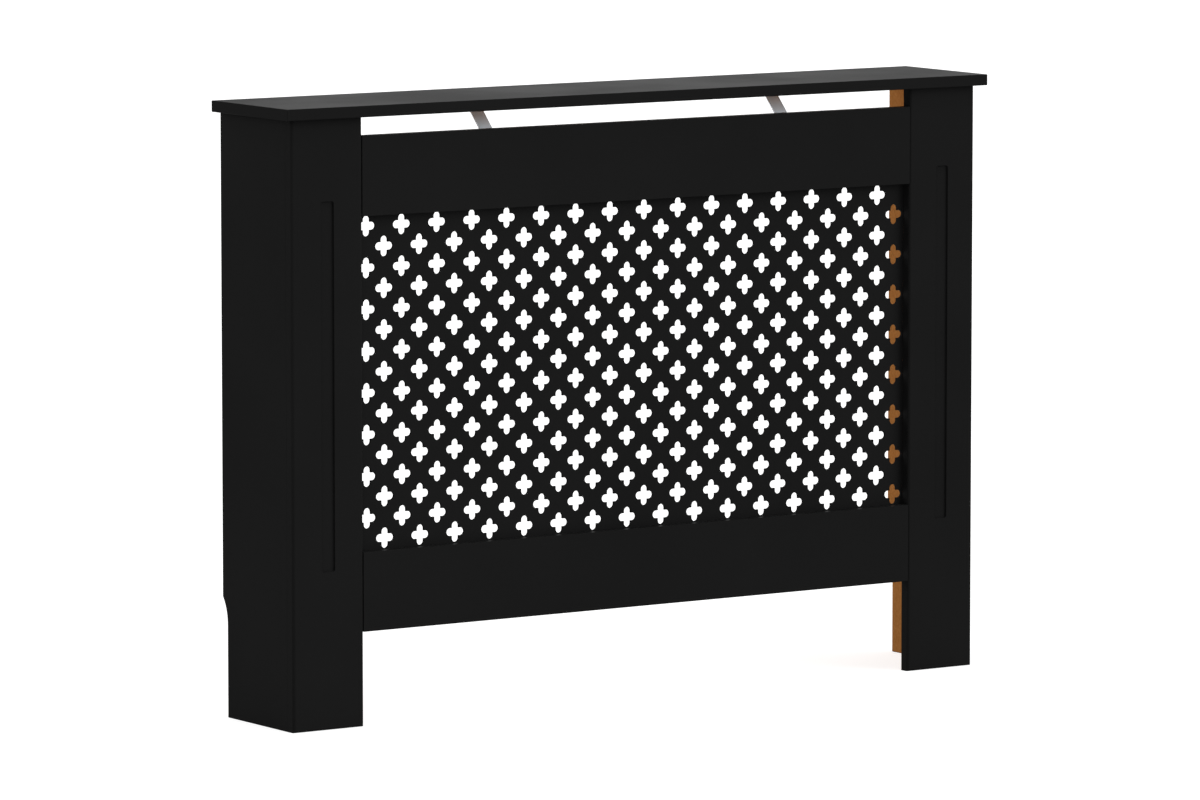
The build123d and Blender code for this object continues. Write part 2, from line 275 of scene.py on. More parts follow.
def solid_boxes(name):
    """Lowest and highest corner of each separate solid of a CAD node."""
    bm = bmesh.new()
    bm.from_mesh(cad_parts[name].data)
    bmesh.ops.remove_doubles(bm, verts=bm.verts[:], dist=WELD_DISTANCE)
    boxes, left = [], set(bm.verts)
    while left:
        island = linked_verts(next(iter(left)))
        left -= island
        spans = [sorted(vert.co[axis] for vert in island) for axis in range(3)]
        boxes.append((Vector(span[0] for span in spans), Vector(span[-1] for span in spans)))
    bm.free()
    return sorted(boxes, key=lambda corners: tuple(corners[0]))


def add_copy(bm, mesh, place):
    """Adds a copy of a mesh, moved by a matrix."""
    count = len(bm.verts)
    bm.from_mesh(mesh)
    bm.verts.ensure_lookup_table()
    bmesh.ops.transform(bm, matrix=place, verts=bm.verts[count:])


def spin_about_z(bm, geom, angle, steps, climb=0.0, merge=False, duplicate=False):
    """Spins geometry about Z, and raises it by a climb at each step."""
    bmesh.ops.spin(
        bm,
        geom=geom,
        cent=(0, 0, 0),
        axis=(0, 0, 1),
        dvec=(0, 0, climb),
        angle=angle,
        steps=steps,
        use_merge=merge,
        use_duplicate=duplicate,
    )


def each_once(parts):
    """A list of the different parts among some, in their order."""
    return list(dict.fromkeys(parts))


def flat_at(parts, z):
    """Those edges or faces that lie flat at a height."""
    return [part for part in parts if all(abs(vert.co.z - z) < WELD_DISTANCE for vert in part.verts)]


def wall_between(bm, heights):
    """Joins like loops of edges at successive heights by a wall."""
    for lower, upper in zip(heights, heights[1:]):
        bmesh.ops.bridge_loops(bm, edges=flat_at(bm.edges, lower) + flat_at(bm.edges, upper))


# Grille sheet, made lying down with its front up

SCREW_HOLE_STEPS = 16


def cross_loop(bm, sizes, growth, z):
    """Adds a cross-shaped loop of edges round the origin, round at its tips and grown by a little."""
    radius = sizes.arm_width / 2 + growth
    tip_centre = (sizes.cross_length - sizes.arm_width) / 2
    made = bmesh.ops.create_circle(bm, cap_ends=False, radius=radius, segments=2 * sizes.tip_steps)
    circle = made["verts"]
    arc = [vert for vert in circle if vert.co.y > -WELD_DISTANCE]
    bmesh.ops.delete(bm, geom=[vert for vert in circle if vert not in arc], context="VERTS")
    ends = [vert for vert in arc if vert.co.y < WELD_DISTANCE]
    bmesh.ops.translate(bm, verts=arc, vec=(0, tip_centre, z))
    roots = bmesh.ops.extrude_vert_indiv(bm, verts=ends)["verts"]
    bmesh.ops.translate(bm, verts=roots, vec=(0, radius - tip_centre, 0))
    arm = arc + roots
    edges = each_once(edge for vert in arm for edge in vert.link_edges)
    other_arms = 3
    spin_about_z(bm, arm + edges, other_arms * FULL_TURN / 4, other_arms, duplicate=True)
    bmesh.ops.remove_doubles(bm, verts=bm.verts[:], dist=WELD_DISTANCE)


def rectangle_loop(bm, half_x, half_y, z):
    """Adds a rectangular loop of edges round the origin."""
    signs = ((1, 1), (-1, 1), (-1, -1), (1, -1))
    corners = [bm.verts.new((sign_x * half_x, sign_y * half_y, z)) for sign_x, sign_y in signs]
    for corner, following in zip(corners, corners[1:] + corners[:1]):
        bm.edges.new((corner, following))


def cross_wall(sizes, thickness):
    """The wall of one cross-shaped hole, with its front arris."""
    bm = bmesh.new()
    cross_loop(bm, sizes, 0, 0)
    cross_loop(bm, sizes, 0, thickness - sizes.arris)
    cross_loop(bm, sizes, sizes.arris, thickness)
    wall_between(bm, (0, thickness - sizes.arris, thickness))
    return finish_mesh(bm, "cross_wall")


def sheet_edge(sizes, half_x, half_y, thickness):
    """The outer edge of the sheet, with its front arris."""
    bm = bmesh.new()
    rectangle_loop(bm, half_x, half_y, 0)
    rectangle_loop(bm, half_x, half_y, thickness - sizes.arris)
    rectangle_loop(bm, half_x - sizes.arris, half_y - sizes.arris, thickness)
    wall_between(bm, (0, thickness - sizes.arris, thickness))
    return finish_mesh(bm, "sheet_edge")


def screw_hole_wall(radius, thickness):
    """The wall of a round hole for a screw."""
    bm = bmesh.new()
    for z in (0, thickness):
        place = Matrix.Translation((0, 0, z))
        bmesh.ops.create_circle(bm, cap_ends=False, radius=radius, segments=SCREW_HOLE_STEPS, matrix=place)
    wall_between(bm, (0, thickness))
    return finish_mesh(bm, "screw_hole_wall")


def cross_places(sizes):
    """Every second place of the grid of columns and rows, in turn from row to row."""
    left, top = -(sizes.columns - 1) / 2 * sizes.step_x, (sizes.rows - 1) / 2 * sizes.step_z
    for column in range(sizes.columns):
        for row in range(column % 2, sizes.rows, 2):
            yield left + column * sizes.step_x, top - row * sizes.step_z


def grille_mesh(sizes, fittings):
    """The pierced sheet: walls of all its holes, filled between at the back and at the front."""
    centre, size = (GRILLE_LOW + GRILLE_HIGH) / 2, GRILLE_HIGH - GRILLE_LOW
    bm = bmesh.new()
    bm.from_mesh(sheet_edge(sizes, size.x / 2, size.z / 2, size.y))
    cross = cross_wall(sizes, size.y)
    for x, y in cross_places(sizes):
        add_copy(bm, cross, Matrix.Translation((x, y, 0)))
    screw_hole = screw_hole_wall(fittings.thread_radius + fittings.hole_clearance, size.y)
    for low, high in solid_boxes("grille_screws"):
        middle = (low + high) / 2 - centre
        add_copy(bm, screw_hole, Matrix.Translation((middle.x, middle.z, 0)))
    for z in (0, size.y):
        rims = flat_at(bm.edges, z)
        bmesh.ops.triangle_fill(bm, use_beauty=True, use_dissolve=False, edges=rims, normal=(0, 0, 1))
    place = Matrix.Translation((centre.x, GRILLE_HIGH.y, centre.z))
    upright = Matrix.Rotation(FULL_TURN / 4, 4, "X")
    bmesh.ops.transform(bm, matrix=place @ upright, verts=bm.verts[:])
    return finish_mesh(bm, "grille_panel")


# Fittings, each made with its Z out of the board and its origin on its seat

# Steps round the turned shapes
HEAD_STEPS = 20
CAM_STEPS = 32
SCREW_THREAD_STEPS = 12
BOLT_THREAD_STEPS = 14

# Width of a recess at its floor, and of a thread at its very tip, in shares of the full width
RECESS_FLOOR_SHARE = 0.55
TIP_SHARE = 0.15
# About how far back the tips of the threads narrow
SCREW_TIP_LENGTH = 3 * MILLIMETRE
BOLT_TIP_LENGTH = 4 * MILLIMETRE

# Half the outline of a pan head from its seat to its top, in shares of its radius and height
PAN_HEAD = ((1.0, 0.0), (1.0, 0.45), (0.95, 0.75), (0.85, 0.93), (0.7, 1.0))
# The plain neck under it, against the thread's core and pitch
NECK_WIDTH_SHARE = 1.02
NECK_PITCHES = 1.5

# A cam lock's rim and window, in shares of the rim's height and of the lock's depth and radius
RIM_CHAMFER_SHARE = 0.4
WINDOW_LOW_SHARE = 0.85
WINDOW_HIGH_SHARE = 0.2
WINDOW_FACE_SHARE = 0.85
WINDOW_DEPTH_SHARE = 0.8

# Half the outline of a cam bolt from the end that the cam grips: its head, in shares of the thread's
# radius, and its neck, in shares of the shank's, each with its distance from that end
BOLT_HEAD = ((0.5, 0.0), (0.9, 1.2 * MILLIMETRE), (0.9, 2.6 * MILLIMETRE))
BOLT_NECK = ((0.55, 3.4 * MILLIMETRE), (0.55, 6.0 * MILLIMETRE), (1.0, 6.8 * MILLIMETRE))
# The collar that stops it at the joint, in shares of the thread's radius and heights from the joint
BOLT_COLLAR = ((1.0, -0.8 * MILLIMETRE), (1.0, 0.0), (0.6, 0.2 * MILLIMETRE))
BOLT_COLLAR_FOOT = -1.2 * MILLIMETRE
# The core of its thread, in a share of the thread's radius
BOLT_CORE_SHARE = 0.65


def scaled(outline, across, along=1.0, start=0.0):
    """An outline with its radii and its heights scaled, raised to start at a height."""
    return [(radius * across, start + height * along) for radius, height in outline]


def profile_edges(bm, points):
    """Adds a line through points of radius and height, and gives its vertices and edges."""
    verts = [bm.verts.new((radius, 0, z)) for radius, z in points]
    return verts + [bm.edges.new(ends) for ends in zip(verts, verts[1:])]


def close_ends(bm):
    """Joins the points that meet, and fills the open ends of a piece."""
    bmesh.ops.remove_doubles(bm, verts=bm.verts[:], dist=WELD_DISTANCE)
    bmesh.ops.holes_fill(bm, edges=[edge for edge in bm.edges if edge.is_boundary], sides=0)


def turned(bm, profile, steps):
    """Adds a closed solid turned about Z, from points of radius and height listed upwards."""
    spin_about_z(bm, profile_edges(bm, profile), FULL_TURN, steps, merge=True)
    close_ends(bm)


def thread(bm, core, crest, pitch, bottom, turns, steps, tip_length):
    """Adds a screw thread: a zigzag spun one turn while it climbs one pitch, drawn in at its tip."""
    before = set(bm.verts)
    zigzag = [(crest if index % 2 else core, bottom + index * pitch / 2) for index in range(2 * turns + 1)]
    spin_about_z(bm, profile_edges(bm, zigzag), FULL_TURN, steps, climb=pitch / steps)
    for vert in set(bm.verts) - before:
        vert.co.xy *= min(1.0, TIP_SHARE + (vert.co.z - bottom) / tip_length)
    close_ends(bm)


def push_in(bm, faces):
    """Extrudes a patch of faces, and gives the vertices of its moved copy."""
    patch = each_once(part for face in faces for part in (face, *face.edges))
    sunk = bmesh.ops.extrude_face_region(bm, geom=patch)["geom"]
    return [part for part in sunk if isinstance(part, bmesh.types.BMVert)]


def sink_cross(bm, z, reach, half_width, depth):
    """Sinks a cross-shaped recess into a flat top, narrower at its floor."""
    for axis in (Vector((1, 0, 0)), Vector((0, 1, 0))):
        for offset in (-reach, -half_width, half_width, reach):
            faces = flat_at(bm.faces, z)
            top = each_once(part for face in faces for part in (face, *face.edges, *face.verts))
            cut = {"plane_co": axis * offset, "plane_no": axis}
            bmesh.ops.bisect_plane(bm, geom=top, dist=WELD_DISTANCE, **cut)
    cross = []
    for face in flat_at(bm.faces, z):
        near, far = sorted(abs(value) for value in face.calc_center_median().xy)
        if near < half_width and far < reach:
            cross.append(face)
    floor = push_in(bm, cross)
    bmesh.ops.translate(bm, verts=floor, vec=(0, 0, -depth))
    bmesh.ops.scale(bm, verts=floor, vec=(RECESS_FLOOR_SHARE, RECESS_FLOOR_SHARE, 1))


def screw_mesh(sizes):
    """A pan-head screw with a cross recess."""
    radius, height, pitch = sizes.head_radius, sizes.head_height, sizes.thread_pitch
    neck = NECK_WIDTH_SHARE * sizes.thread_core
    bm = bmesh.new()
    turned(bm, [(neck, -NECK_PITCHES * pitch), (neck, 0), *scaled(PAN_HEAD, radius, height)], HEAD_STEPS)
    sink_cross(bm, height, reach=0.58 * radius, half_width=0.14 * radius, depth=0.7 * height)
    thread(
        bm,
        core=sizes.thread_core,
        crest=sizes.thread_radius,
        pitch=pitch,
        bottom=-sizes.screw_length,
        turns=round(sizes.screw_length / pitch) - 1,
        steps=SCREW_THREAD_STEPS,
        tip_length=SCREW_TIP_LENGTH,
    )
    return finish_mesh(bm, "screw")


def cam_lock_mesh(sizes):
    """A cam lock with a rim, a cross recess, and a window in its side towards +Y for the bolt."""
    radius, rim = sizes.cam_radius, sizes.cam_rim_radius
    top, depth = sizes.cam_rim_height, sizes.cam_depth
    chamfer = RIM_CHAMFER_SHARE * top
    bm = bmesh.new()
    body = [(radius, -depth), (radius, 0), (rim, 0), (rim, top - chamfer), (rim - chamfer, top)]
    turned(bm, body, CAM_STEPS)
    sink_cross(bm, top, reach=0.5 * radius, half_width=0.13 * radius, depth=0.25 * depth)
    window_low, window_high = -WINDOW_LOW_SHARE * depth, -WINDOW_HIGH_SHARE * depth
    for z in (window_low, window_high):
        geom = bm.verts[:] + bm.edges[:] + bm.faces[:]
        bmesh.ops.bisect_plane(bm, geom=geom, dist=WELD_DISTANCE, plane_co=(0, 0, z), plane_no=(0, 0, 1))
    window = []
    for face in bm.faces:
        middle = face.calc_center_median()
        if window_low < middle.z < window_high and middle.y > WINDOW_FACE_SHARE * radius:
            window.append(face)
    bmesh.ops.translate(bm, verts=push_in(bm, window), vec=(0, -WINDOW_DEPTH_SHARE * radius, 0))
    return finish_mesh(bm, "cam_lock")


def bolt_thread_mesh(sizes):
    """The thread of a cam bolt, with its tip downwards."""
    crest, pitch, reach = sizes.bolt_thread_radius, sizes.bolt_thread_pitch, sizes.bolt_thread_length
    bm = bmesh.new()
    thread(
        bm,
        core=BOLT_CORE_SHARE * crest,
        crest=crest,
        pitch=pitch,
        bottom=-reach,
        turns=round(reach / pitch) - 1,
        steps=BOLT_THREAD_STEPS,
        tip_length=BOLT_TIP_LENGTH,
    )
    return finish_mesh(bm, "bolt_thread")


def cam_bolt_mesh(sizes):
    """A cam bolt: a neck and a round head for the cam behind the joint, and a thread ahead of it."""
    shank, crest, end = sizes.bolt_radius, sizes.bolt_thread_radius, -sizes.bolt_shank_length
    gripped = scaled(BOLT_HEAD, crest, start=end) + scaled(BOLT_NECK, shank, start=end)
    bm = bmesh.new()
    turned(bm, [*gripped, (shank, BOLT_COLLAR_FOOT), *scaled(BOLT_COLLAR, crest)], HEAD_STEPS)
    add_copy(bm, bolt_thread_mesh(sizes), Matrix.Rotation(FULL_TURN / 2, 4, "X"))
    return finish_mesh(bm, "cam_bolt")


def dowel_mesh(sizes):
    """A fluted dowel with chamfered ends."""
    radius, half, chamfer = sizes.dowel_radius, sizes.dowel_length / 2, sizes.dowel_chamfer
    steps = 2 * sizes.flutes
    bm = bmesh.new()
    end = [(radius - chamfer, half), (radius, half - chamfer)]
    turned(bm, [(across, -along) for across, along in end] + end[::-1], steps)
    flute = 1 - sizes.flute_depth / radius
    for vert in bm.verts:
        rib = round(math.atan2(vert.co.y, vert.co.x) / FULL_TURN * steps)
        if rib % 2 and abs(vert.co.z) < half - chamfer / 2:
            vert.co.xy *= flute
    return finish_mesh(bm, "dowel")


def facing(origin, out, up):
    """The place of a fitting whose Z points out and whose Y points up."""
    turn = Matrix((up.cross(out), up, out)).transposed()
    return Matrix.Translation(origin) @ turn.to_4x4()


def group_mesh(name, shape, places):
    """Copies of a shape at several places, as one mesh."""
    bm = bmesh.new()
    for place in places:
        add_copy(bm, shape, place)
    return finish_mesh(bm, name)


def outer_ends(node, out_of, standing):
    """The seat of each solid of a CAD node and the way it faces. What stands out is beyond the seat."""
    ends = []
    for low, high in solid_boxes(node):
        middle = (low + high) / 2
        out = out_of(middle)
        reach = abs(((high - low) / 2).dot(out))
        ends.append((middle + out * (reach - standing), out))
    return ends


# Ways that a fitting may face, from the middle of its solid


def to_wall(middle):
    """Out of the backs of the boards."""
    return Vector((0, 1, 0))


def to_floor(middle):
    """Out of the shelf's underside."""
    return Vector((0, 0, -1))


def to_shelf(middle):
    """Up into the shelf."""
    return Vector((0, 0, 1))


def to_middle(middle):
    """Out of a side panel's inner face."""
    return Vector((-math.copysign(1, middle.x), 0, 0))


def to_side(middle):
    """From the middle of the cabinet into a stile."""
    return Vector((math.copysign(1, middle.x), 0, 0))


# Which way the screws of each group face, and what they are made of
SCREWS = {
    "strap_rail_screws": (to_wall, "zinc_plated_steel"),
    "strap_shelf_screws": (to_floor, "zinc_plated_steel"),
    "bracket_screws": (to_middle, "zinc_plated_steel"),
    "grille_screws": (to_wall, "black_steel"),
}


# Materials

# Grain of the metals: the scale of its noise, and the height of its bumps
COARSE_GRAIN = (1200.0, 0.02 * MILLIMETRE)
FINE_GRAIN = (2500.0, 0.005 * MILLIMETRE)

# Heights of the bumps on the boards and the dowels
BOARD_BUMPS = 0.02 * MILLIMETRE
BEECH_BUMPS = 0.03 * MILLIMETRE

# Nearly all of a noise lies between these two values
NOISE_LOW = 0.3
NOISE_HIGH = 0.7

# How far the roughness strays to each side
PAINT_ROUGHNESS_SPREAD = 0.03
METAL_ROUGHNESS_SPREAD = 0.08
RAW_BOARD_ROUGHNESS = 0.85

# Sockets of a Mix node, by number, because those for values and for colours have the same names
MIX_FACTOR = 0
VALUE_A = 2
VALUE_B = 3
VALUE_RESULT = 0
COLOUR_A = 6
COLOUR_B = 7
COLOUR_RESULT = 2


def shade(base, factor):
    """A lighter or darker version of a colour."""
    return tuple(min(1.0, channel * factor) for channel in base)


class Finish:
    """A material in the making: a principled surface, and the nodes that feed it."""

    def __init__(self, name):
        self.material = bpy.data.materials.new(name)
        self.material.use_nodes = True
        self.tree = self.material.node_tree
        self.surface = self.tree.nodes["Principled BSDF"]
        self.place = self.add("ShaderNodeTexCoord").outputs["Object"]

    def add(self, kind, inputs=None, **settings):
        """Adds a node with its settings, and feeds its inputs."""
        node = self.tree.nodes.new(kind)
        for name, value in settings.items():
            setattr(node, name, value)
        for key, value in (inputs or {}).items():
            self.feed(node.inputs[key], value)
        return node

    def feed(self, socket, value):
        """Joins a socket to another, or sets its value."""
        if isinstance(value, bpy.types.NodeSocket):
            self.tree.links.new(value, socket)
        else:
            socket.default_value = value

    def calculate(self, operation, first, second=0.0):
        """What a Math node makes of one or two values."""
        return self.add("ShaderNodeMath", {0: first, 1: second}, operation=operation).outputs[0]

    def ease(self, value, start, end, low=0.0, high=1.0):
        """A value that goes smoothly from low to high between start and end."""
        inputs = {"Value": value, "From Min": start, "From Max": end, "To Min": low, "To Max": high}
        return self.add("ShaderNodeMapRange", inputs, interpolation_type="SMOOTHSTEP").outputs["Result"]

    def stray(self, noise, middle, spread):
        """A value that strays with a noise to each side of a middle."""
        return self.ease(noise, NOISE_LOW, NOISE_HIGH, middle - spread, middle + spread)

    def noise(self, scale, detail=2.0, roughness=0.5, stretch=(1.0, 1.0, 1.0)):
        """Fractal noise over the piece, with the coordinates drawn out by a stretch."""
        place = self.add("ShaderNodeMapping", {"Vector": self.place, "Scale": stretch}).outputs[0]
        inputs = {"Vector": place, "Scale": scale, "Detail": detail, "Roughness": roughness}
        return self.add("ShaderNodeTexNoise", inputs).outputs[0]

    def choose(self, factor, first, second):
        """A value between two values."""
        inputs = {MIX_FACTOR: factor, VALUE_A: first, VALUE_B: second}
        return self.add("ShaderNodeMix", inputs).outputs[VALUE_RESULT]

    def blend(self, factor, first, second):
        """A colour between two colours."""
        inputs = {MIX_FACTOR: factor, COLOUR_A: self.opaque(first), COLOUR_B: self.opaque(second)}
        return self.add("ShaderNodeMix", inputs, data_type="RGBA").outputs[COLOUR_RESULT]

    def vary(self, factor, base, darkest, lightest):
        """A colour that goes from a darker to a lighter version of itself."""
        return self.blend(factor, shade(base, darkest), shade(base, lightest))

    @staticmethod
    def opaque(value):
        """A colour with its alpha, or a socket as it is."""
        return value if isinstance(value, bpy.types.NodeSocket) else (*value, 1.0)

    def bump(self, height, distance):
        """A normal from a height between 0 and 1 and the distance that it stands for."""
        return self.add("ShaderNodeBump", {"Height": height, "Distance": distance}).outputs[0]

    def surfaced(self, inputs):
        """The material, with its principled surface fed."""
        for key, value in inputs.items():
            self.feed(self.surface.inputs[key], value)
        return self.material


def board_finish(name, finishes, bare_mask):
    """Fibre board: satin black paint, and bare fibre where the mask says."""
    finish = Finish(name)
    bare = bare_mask(finish)
    clouds = finish.noise(scale=5.0, detail=3.0)
    orange_peel = finish.noise(scale=700.0, detail=1.0)
    flecks = finish.noise(scale=1400.0, detail=5.0, roughness=0.75)
    fibres = finish.noise(scale=500.0, detail=5.0, roughness=0.75, stretch=(1.0, 1.0, 0.5))
    fibre_share = finish.ease(finish.calculate("ADD", flecks, fibres), start=0.75, end=1.25)
    paint = finish.vary(clouds, finishes.paint, darkest=0.85, lightest=1.15)
    fibre = finish.blend(fibre_share, finishes.raw_fibres, finishes.raw_board)
    satin = finish.stray(clouds, finishes.paint_roughness, PAINT_ROUGHNESS_SPREAD)
    return finish.surfaced(
        {
            "Base Color": finish.blend(bare, paint, fibre),
            "Roughness": finish.choose(bare, satin, RAW_BOARD_ROUGHNESS),
            "Specular IOR Level": finishes.paint_gloss,
            "Normal": finish.bump(finish.choose(bare, orange_peel, flecks), BOARD_BUMPS),
        }
    )


def inside_cabinet(finish):
    """1 on the faces that look into the cabinet, and 0 elsewhere."""
    axes = finish.add("ShaderNodeSeparateXYZ", {0: finish.place}).outputs
    from_middle = finish.calculate("ABSOLUTE", axes["X"])
    between_sides = finish.calculate("LESS_THAN", from_middle, SIDE_INNER_X + FACE_TOLERANCE)
    behind_frame = finish.calculate("GREATER_THAN", axes["Y"], FRAME_BACK_Y - FACE_TOLERANCE)
    under_shelf = finish.calculate("LESS_THAN", axes["Z"], SHELF_UNDERSIDE_Z + FACE_TOLERANCE)
    behind_and_between = finish.calculate("MULTIPLY", between_sides, behind_frame)
    return finish.calculate("MULTIPLY", behind_and_between, under_shelf)


def sheet_back(finish):
    """1 on the back of the grille sheet, and 0 elsewhere."""
    axes = finish.add("ShaderNodeSeparateXYZ", {0: finish.place}).outputs
    return finish.calculate("GREATER_THAN", axes["Y"], GRILLE_HIGH.y - FACE_TOLERANCE)


def metal_finish(name, base, grain_size, metallic, roughness):
    """Metal with a grain."""
    finish = Finish(name)
    grain_scale, grain_height = grain_size
    grain = finish.noise(grain_scale, detail=4.0, roughness=0.6)
    clouds = finish.noise(scale=60.0)
    return finish.surfaced(
        {
            "Base Color": finish.vary(clouds, base, darkest=0.9, lightest=1.08),
            "Metallic": metallic,
            "Roughness": finish.stray(grain, roughness, METAL_ROUGHNESS_SPREAD),
            "Normal": finish.bump(grain, grain_height),
        }
    )


def beech_finish(name, base, along):
    """Beech with its grain and short dark rays along one axis."""
    finish = Finish(name)
    stretch = tuple(0.08 if axis == along else 1.0 for axis in range(3))
    grain = finish.noise(scale=900.0, detail=4.0, roughness=0.6, stretch=stretch)
    rays = finish.noise(scale=2600.0, stretch=stretch)
    ray_share = finish.ease(finish.calculate("ADD", grain, rays), start=0.8, end=1.25)
    return finish.surfaced(
        {
            "Base Color": finish.vary(ray_share, base, darkest=0.6, lightest=1.0),
            "Roughness": 0.7,
            "Specular IOR Level": 0.3,
            "Normal": finish.bump(grain, BEECH_BUMPS),
        }
    )


# Operators


class RADIATORCOVER_OT_boards(bpy.types.Operator):
    """Finish the boards: satin black outside, bare fibre board inside"""

    bl_idname = "radiatorcover.boards"
    bl_label = "Boards"

    def execute(self, context):
        finishes = context.scene.radiator_cover.finishes
        painted = board_finish("painted_board", finishes, inside_cabinet)
        for name in BOARDS:
            dress_node(name, painted, finishes.board_arris)
        return {"FINISHED"}


class RADIATORCOVER_OT_grille(bpy.types.Operator):
    """Model the pierced grille sheet"""

    bl_idname = "radiatorcover.grille"
    bl_label = "Grille sheet"

    def execute(self, context):
        settings = context.scene.radiator_cover
        material = board_finish("painted_sheet", settings.finishes, sheet_back)
        mesh = grille_mesh(settings.grille, settings.fittings)
        add_piece(mesh, material, "grille_sheet")
        return {"FINISHED"}


class RADIATORCOVER_OT_strips(bpy.types.Operator):
    """Finish the steel straps and brackets"""

    bl_idname = "radiatorcover.strips"
    bl_label = "Straps and brackets"

    def execute(self, context):
        finishes = context.scene.radiator_cover.finishes
        material = metal_finish("zinc_plate", finishes.zinc, COARSE_GRAIN, metallic=0.3, roughness=0.5)
        for name in STEEL_STRIPS:
            dress_node(name, material, finishes.strip_arris)
        return {"FINISHED"}


class RADIATORCOVER_OT_screws(bpy.types.Operator):
    """Model the pan-head screws"""

    bl_idname = "radiatorcover.screws"
    bl_label = "Screws"

    def execute(self, context):
        settings = context.scene.radiator_cover
        sizes, finishes = settings.fittings, settings.finishes
        plated = metal_finish("plated_screw", finishes.zinc, FINE_GRAIN, metallic=1.0, roughness=0.35)
        black = metal_finish("black_screw", finishes.screw_black, FINE_GRAIN, metallic=1.0, roughness=0.4)
        materials = {"zinc_plated_steel": plated, "black_steel": black}
        shape = screw_mesh(sizes)
        for node, (out_of, slot) in SCREWS.items():
            places = []
            for seat, out in outer_ends(node, out_of, sizes.head_height):
                up = Vector((0, 1, 0)) if out.z else Vector((0, 0, 1))
                places.append(facing(seat, out, up))
            mesh = group_mesh(node.replace("_screws", "_pan_screws"), shape, places)
            add_piece(mesh, materials[slot], node)
        return {"FINISHED"}


class RADIATORCOVER_OT_cams(bpy.types.Operator):
    """Model the cam locks and the bolts that they draw up"""

    bl_idname = "radiatorcover.cams"
    bl_label = "Cam fittings"

    def execute(self, context):
        settings = context.scene.radiator_cover
        sizes, finishes = settings.fittings, settings.finishes
        cast = metal_finish("cast_zinc", finishes.cast_zinc, COARSE_GRAIN, metallic=0.8, roughness=0.5)
        plated = metal_finish("plated_bolt", finishes.zinc, FINE_GRAIN, metallic=1.0, roughness=0.35)
        lock = cam_lock_mesh(sizes)
        bolt = cam_bolt_mesh(sizes)
        for board, lock_faces, bolt_goes in (("rail", to_wall, to_side), ("shelf", to_middle, to_shelf)):
            lock_node, bolt_node = f"{board}_cam_locks", f"{board}_cam_bolts"
            lock_ends = outer_ends(lock_node, lock_faces, 0)
            locks = [facing(seat, out, bolt_goes(seat)) for seat, out in lock_ends]
            bolt_ends = outer_ends(bolt_node, bolt_goes, sizes.bolt_thread_length)
            bolts = [facing(seat, out, lock_faces(seat)) for seat, out in bolt_ends]
            add_piece(group_mesh(f"{board}_cams", lock, locks), cast, lock_node)
            add_piece(group_mesh(f"{board}_bolts", bolt, bolts), plated, bolt_node)
        return {"FINISHED"}


class RADIATORCOVER_OT_dowels(bpy.types.Operator):
    """Model the fluted beech dowels"""

    bl_idname = "radiatorcover.dowels"
    bl_label = "Dowels"

    def execute(self, context):
        settings = context.scene.radiator_cover
        shape = dowel_mesh(settings.fittings)
        for board, along in (("rail", 0), ("stile", 1), ("shelf", 2)):
            node = f"{board}_dowels"
            out = Vector(float(axis == along) for axis in range(3))
            up = Vector(float(axis == (along + 1) % 3) for axis in range(3))
            places = [facing((low + high) / 2, out, up) for low, high in solid_boxes(node)]
            material = beech_finish(f"beech_{board}", settings.finishes.beech, along)
            mesh = group_mesh(f"{board}_fluted_dowels", shape, places)
            add_piece(mesh, material, node)
        return {"FINISHED"}


# Studio

# Ways that the lamps shine. They leave the edges that face the camera a little darker.
DOWNWARDS = (0, 0.1, -1)
FROM_FRONT_RIGHT = (-0.6, 0.8, -0.35)
FROM_REAR_LEFT = (0.75, -0.65, -0.1)

# How far off the lamps stand, which changes nothing in the light of a sun lamp
LAMP_DISTANCE = 4.0

# The floor fills the camera's view, and the camera sees past the floor's far edge
FLOOR_RADIUS = 40.0
FLOOR_SIDES = 96
CAMERA_REACH = 100.0


def add_lamp(name, brightness, spread, direction):
    """A soft lamp. A brightness of 1 shows a white card that is square to it as white."""
    data = bpy.data.lights.new(name, "SUN")
    data.energy = brightness * math.pi
    data.angle = spread
    lamp = bpy.data.objects.new(name, data)
    lamp.rotation_euler = Vector(direction).to_track_quat("-Z", "Y").to_euler()
    lamp.location = Vector(direction).normalized() * -LAMP_DISTANCE
    bpy.context.scene.collection.objects.link(lamp)


def seen_directly(tree):
    """1 for rays from the camera, off gloss and through glass, and 0 for the rest."""
    path = tree.nodes.new("ShaderNodeLightPath")
    total = path.outputs["Is Camera Ray"]
    for name in ("Is Glossy Ray", "Is Transmission Ray"):
        larger = tree.nodes.new("ShaderNodeMath")
        larger.operation = "MAXIMUM"
        tree.links.new(total, larger.inputs[0])
        tree.links.new(path.outputs[name], larger.inputs[1])
        total = larger.outputs[0]
    return total


def light_world(strength):
    """White to look at, and dimmer as a light."""
    world = bpy.data.worlds.new("studio")
    world.use_nodes = True
    tree = world.node_tree
    strengths = tree.nodes.new("ShaderNodeMapRange")
    tree.links.new(seen_directly(tree), strengths.inputs["Value"])
    strengths.inputs["To Min"].default_value = strength
    strengths.inputs["To Max"].default_value = 1.0
    background = tree.nodes["Background"]
    background.inputs["Color"].default_value = (1, 1, 1, 1)
    tree.links.new(strengths.outputs["Result"], background.inputs["Strength"])
    bpy.context.scene.world = world


